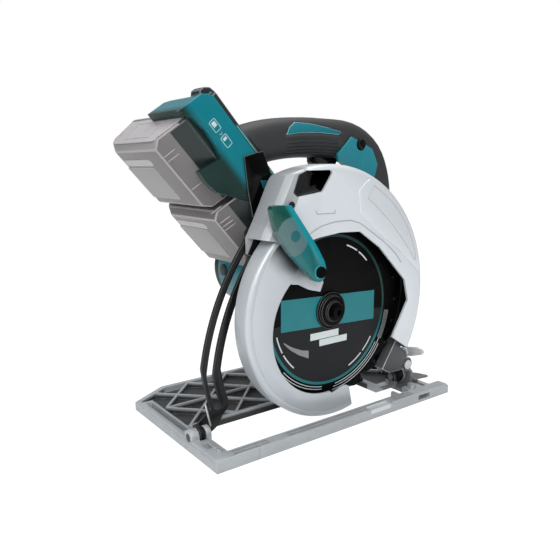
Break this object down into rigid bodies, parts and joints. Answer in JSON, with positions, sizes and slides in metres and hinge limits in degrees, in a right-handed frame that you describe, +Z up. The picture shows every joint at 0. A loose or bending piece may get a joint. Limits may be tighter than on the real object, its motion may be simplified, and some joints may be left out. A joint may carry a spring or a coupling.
{
  "type": "circular saw",
  "caption": "Cordless circular saw with a ribbed tilting base, swinging lower guard, geared motor, rear grip and slide-on battery packs.",
  "frame": {"origin": "on the sole, in the blade's plane, straight under the blade axis with the depth stop raised", "axes": "+X in the cutting direction, +Y towards the motor, +Z up from the sole"},
  "size_m": [0.2895, 0.179, 0.3],
  "materials": {
    "cast": "cast, satin",
    "guard": "satin",
    "steel": "turned",
    "black_metal": "satin black",
    "grey_metal": "dark",
    "blade": "gloss black with a coloured ring",
    "teal": "moulded, satin",
    "clear_teal": "tinted",
    "black": "moulded",
    "grip": "soft grip",
    "pack": "smoky",
    "brass": "plain",
    "core": "laminated",
    "board": "circuit board",
    "white": "moulded"
  },
  "bodies": {
    "base": {"base_plate": "cast", "clamp_post": "cast", "rear_hinge_pin": "steel", "front_hinge_pin": "steel", "fence_screw": "guard", "bevel_bolt": "steel"},
    "bevel_clamp": {"bevel_lever": "guard"},
    "tilt_frame": {"depth_guide": "black_metal", "tilt_bracket": "black_metal", "bevel_quadrant": "cast", "depth_pivot_pin": "steel"},
    "saw": {"blade_case": "cast", "front_link": "grey_metal", "gear_housing": "grey_metal", "bearing_retainer": "cast", "spindle_bearing": "steel", "needle_bearing": "steel", "guard_spring": "steel", "motor_housing": "teal", "motor_end_cap": "black", "stator": "core", "front_motor_bearing": "steel", "rear_motor_bearing": "steel", "brush_holders": "brass", "brush_caps": "black", "depth_bolt": "steel", "handle_right": "grip", "handle_left": "grip", "handle_panel": "teal", "handle_inlay": "teal", "switch_body": "black", "battery_housing": "teal", "dock_trim": "black", "rear_cover": "black", "dock_terminals": "brass", "controller": "board"},
    "depth_clamp": {"depth_lever": "black"},
    "trigger": {"trigger": "black"},
    "lock_off": {"lock_off_button": "black"},
    "shaft_lock": {"shaft_lock": "black"},
    "spindle": {"spindle": "steel", "drive_gear": "steel", "inner_flange": "black_metal", "blade": "blade", "outer_flange": "black_metal", "blade_bolt": "black_metal"},
    "armature": {"armature_shaft": "steel", "armature_core": "core", "commutator": "brass", "cooling_fan": "white"},
    "lower_guard": {"lower_guard": "guard", "guard_lever": "clear_teal", "lever_screw": "steel"},
    "upper_pack": {"upper_battery": "pack"},
    "upper_release": {"upper_release": "black"},
    "lower_pack": {"lower_battery": "pack"},
    "lower_release": {"lower_release": "black"}
  },
  "joints": [
    {"name": "bevel", "type": "hinge", "parent": "base", "child": "tilt_frame", "pos_m": [0, 0.01, 0.0125], "axis": [1, 0, 0], "range_deg": [0, 50]},
    {"name": "bevel_clamp_turn", "type": "hinge", "parent": "base", "child": "bevel_clamp", "pos_m": [0.12, 0.01, 0.0365], "axis": [-1, 0, 0], "range_deg": [0, 40]},
    {"name": "depth", "type": "hinge", "parent": "tilt_frame", "child": "saw", "pos_m": [0.106, 0, 0.029], "axis": [0, -1, 0], "range_deg": [0, 32]},
    {"name": "depth_clamp_turn", "type": "hinge", "parent": "saw", "child": "depth_clamp", "pos_m": [-0.06923, 0.022, 0.17604], "axis": [0, 1, 0], "range_deg": [0, 45]},
    {"name": "spindle_spin", "type": "hinge", "parent": "saw", "child": "spindle", "pos_m": [0, 0, 0.103], "axis": [0, 1, 0], "continuous": true},
    {"name": "armature_spin", "type": "hinge", "parent": "saw", "child": "armature", "pos_m": [-0.00585, 0.08, 0.13051], "axis": [0, 1, 0], "continuous": true},
    {"name": "guard_swing", "type": "hinge", "parent": "saw", "child": "lower_guard", "pos_m": [0, 0, 0.103], "axis": [0, 1, 0], "range_deg": [0, 120], "stiffness_Nm_per_rad": 0.15, "springref_deg": -68.75},
    {"name": "trigger_pull", "type": "hinge", "parent": "saw", "child": "trigger", "pos_m": [0.038, 0.042, 0.25], "axis": [0, 1, 0], "range_deg": [0, 7], "stiffness_Nm_per_rad": 0.5, "springref_deg": -11.46},
    {"name": "lock_off_push", "type": "slide", "parent": "saw", "child": "lock_off", "axis": [0, 1, 0], "range_m": [0, 0.003], "stiffness_N_per_m": 150, "springref_m": -0.003},
    {"name": "shaft_lock_push", "type": "slide", "parent": "saw", "child": "shaft_lock", "axis": [0, -1, 0], "range_m": [0, 0.002], "stiffness_N_per_m": 150, "springref_m": -0.003},
    {"name": "upper_pack_slide", "type": "slide", "parent": "saw", "child": "upper_pack", "axis": [0, 1, 0], "range_m": [0, 0.09]},
    {"name": "lower_pack_slide", "type": "slide", "parent": "saw", "child": "lower_pack", "axis": [0, 1, 0], "range_m": [0, 0.09]},
    {"name": "upper_release_press", "type": "slide", "parent": "upper_pack", "child": "upper_release", "axis": [-0.7431, 0, -0.6691], "range_m": [0, 0.003], "stiffness_N_per_m": 150, "springref_m": -0.003},
    {"name": "lower_release_press", "type": "slide", "parent": "lower_pack", "child": "lower_release", "axis": [-0.7431, 0, -0.6691], "range_m": [0, 0.003], "stiffness_N_per_m": 150, "springref_m": -0.003}
  ],
  "couplings": [
    {"joint": "armature_spin", "follows": "spindle_spin", "ratio": -4.5556}
  ]
}
